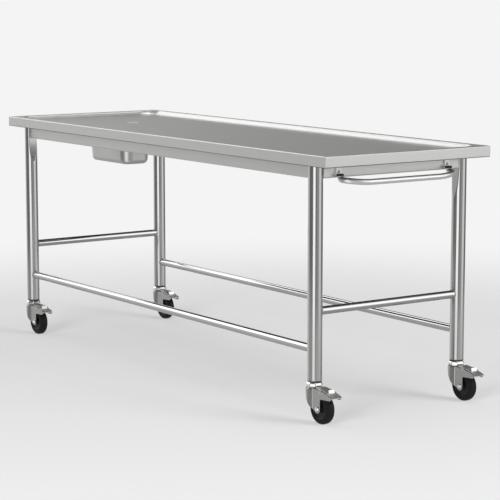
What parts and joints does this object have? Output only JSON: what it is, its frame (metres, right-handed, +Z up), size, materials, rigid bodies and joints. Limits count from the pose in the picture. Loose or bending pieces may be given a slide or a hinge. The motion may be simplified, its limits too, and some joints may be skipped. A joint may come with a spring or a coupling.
{
  "type": "autopsy table",
  "caption": "Mobile stainless steel autopsy table: rimmed tray top with a drain over a sliding basin, braced tube legs, push handle and braked swivel castors.",
  "frame": {"origin": "on the floor, under the middle of the whole table's box", "axes": "+X along the table towards the push handle, +Y across it towards the back, +Z up"},
  "size_m": [2.082, 0.674, 0.85],
  "materials": {
    "sheet_steel": "brushed stainless sheet",
    "tube_steel": "satin stainless tube",
    "polished_steel": "polished stainless",
    "plated_steel": "bright plated",
    "pressed_steel": "satin pressed sheet",
    "wheel_plastic": "matt black",
    "wheel_tyre": "matt black rubber",
    "seal_rubber": "matt dark grey"
  },
  "bodies": {
    "table": {"tray_top": "sheet_steel", "apron_front": "sheet_steel", "apron_back": "sheet_steel", "apron_left": "sheet_steel", "apron_right": "sheet_steel", "basin_runner_front": "sheet_steel", "basin_runner_back": "sheet_steel", "leg_front_left": "tube_steel", "leg_front_right": "tube_steel", "leg_back_left": "tube_steel", "leg_back_right": "tube_steel", "stretcher_front": "tube_steel", "stretcher_back": "tube_steel", "stretcher_left": "tube_steel", "stretcher_right": "tube_steel", "push_handle": "polished_steel", "handle_bracket_front": "polished_steel", "handle_bracket_back": "polished_steel", "handle_screw_front_low": "polished_steel", "handle_screw_front_high": "polished_steel", "handle_screw_back_low": "polished_steel", "handle_screw_back_high": "polished_steel", "drain_body": "polished_steel", "drain_backnut": "polished_steel", "drain_gasket": "seal_rubber", "castor_expander_front_left": "seal_rubber", "castor_expander_front_right": "seal_rubber", "castor_expander_back_left": "seal_rubber", "castor_expander_back_right": "seal_rubber", "castor_stem_front_left": "plated_steel", "castor_nut_front_left": "plated_steel", "castor_stem_front_right": "plated_steel", "castor_nut_front_right": "plated_steel", "castor_stem_back_left": "plated_steel", "castor_nut_back_left": "plated_steel", "castor_stem_back_right": "plated_steel", "castor_nut_back_right": "plated_steel"},
    "fork_front_left": {"castor_fork_front_left": "pressed_steel", "castor_axle_front_left": "plated_steel"},
    "wheel_front_left": {"castor_hub_front_left": "wheel_plastic", "castor_tyre_front_left": "wheel_tyre"},
    "pedal_front_left": {"castor_pedal_front_left": "pressed_steel"},
    "fork_front_right": {"castor_fork_front_right": "pressed_steel", "castor_axle_front_right": "plated_steel"},
    "wheel_front_right": {"castor_hub_front_right": "wheel_plastic", "castor_tyre_front_right": "wheel_tyre"},
    "pedal_front_right": {"castor_pedal_front_right": "pressed_steel"},
    "fork_back_left": {"castor_fork_back_left": "pressed_steel", "castor_axle_back_left": "plated_steel"},
    "wheel_back_left": {"castor_hub_back_left": "wheel_plastic", "castor_tyre_back_left": "wheel_tyre"},
    "pedal_back_left": {"castor_pedal_back_left": "pressed_steel"},
    "fork_back_right": {"castor_fork_back_right": "pressed_steel", "castor_axle_back_right": "plated_steel"},
    "wheel_back_right": {"castor_hub_back_right": "wheel_plastic", "castor_tyre_back_right": "wheel_tyre"},
    "pedal_back_right": {"castor_pedal_back_right": "pressed_steel"},
    "sliding_basin": {"basin": "sheet_steel"},
    "lift_out_strainer": {"drain_strainer": "polished_steel"}
  },
  "joints": [
    {"name": "swivel_front_left", "type": "hinge", "parent": "table", "child": "fork_front_left", "pos_m": [-0.938, -0.2945, 0.1125], "axis": [0, 0, 1], "continuous": true},
    {"name": "roll_front_left", "type": "hinge", "parent": "fork_front_left", "child": "wheel_front_left", "pos_m": [-0.8965, -0.2945, 0.05], "axis": [0, 1, 0], "continuous": true},
    {"name": "brake_front_left", "type": "hinge", "parent": "fork_front_left", "child": "pedal_front_left", "pos_m": [-0.886, -0.2945, 0.1045], "axis": [0, 1, 0], "range_deg": [0, 7]},
    {"name": "swivel_front_right", "type": "hinge", "parent": "table", "child": "fork_front_right", "pos_m": [0.916, -0.2945, 0.1125], "axis": [0, 0, 1], "continuous": true},
    {"name": "roll_front_right", "type": "hinge", "parent": "fork_front_right", "child": "wheel_front_right", "pos_m": [0.9575, -0.2945, 0.05], "axis": [0, 1, 0], "continuous": true},
    {"name": "brake_front_right", "type": "hinge", "parent": "fork_front_right", "child": "pedal_front_right", "pos_m": [0.968, -0.2945, 0.1045], "axis": [0, 1, 0], "range_deg": [0, 7]},
    {"name": "swivel_back_left", "type": "hinge", "parent": "table", "child": "fork_back_left", "pos_m": [-0.938, 0.2945, 0.1125], "axis": [0, 0, 1], "continuous": true},
    {"name": "roll_back_left", "type": "hinge", "parent": "fork_back_left", "child": "wheel_back_left", "pos_m": [-0.8965, 0.2945, 0.05], "axis": [0, 1, 0], "continuous": true},
    {"name": "brake_back_left", "type": "hinge", "parent": "fork_back_left", "child": "pedal_back_left", "pos_m": [-0.886, 0.2945, 0.1045], "axis": [0, 1, 0], "range_deg": [0, 7]},
    {"name": "swivel_back_right", "type": "hinge", "parent": "table", "child": "fork_back_right", "pos_m": [0.916, 0.2945, 0.1125], "axis": [0, 0, 1], "continuous": true},
    {"name": "roll_back_right", "type": "hinge", "parent": "fork_back_right", "child": "wheel_back_right", "pos_m": [0.9575, 0.2945, 0.05], "axis": [0, 1, 0], "continuous": true},
    {"name": "brake_back_right", "type": "hinge", "parent": "fork_back_right", "child": "pedal_back_right", "pos_m": [0.968, 0.2945, 0.1045], "axis": [0, 1, 0], "range_deg": [0, 7]},
    {"name": "basin_slide", "type": "slide", "parent": "table", "child": "sliding_basin", "axis": [1, 0, 0], "range_m": [0, 0.28]},
    {"name": "strainer_lift", "type": "slide", "parent": "table", "child": "lift_out_strainer", "axis": [0, 0, 1], "range_m": [0, 0.03]}
  ]
}
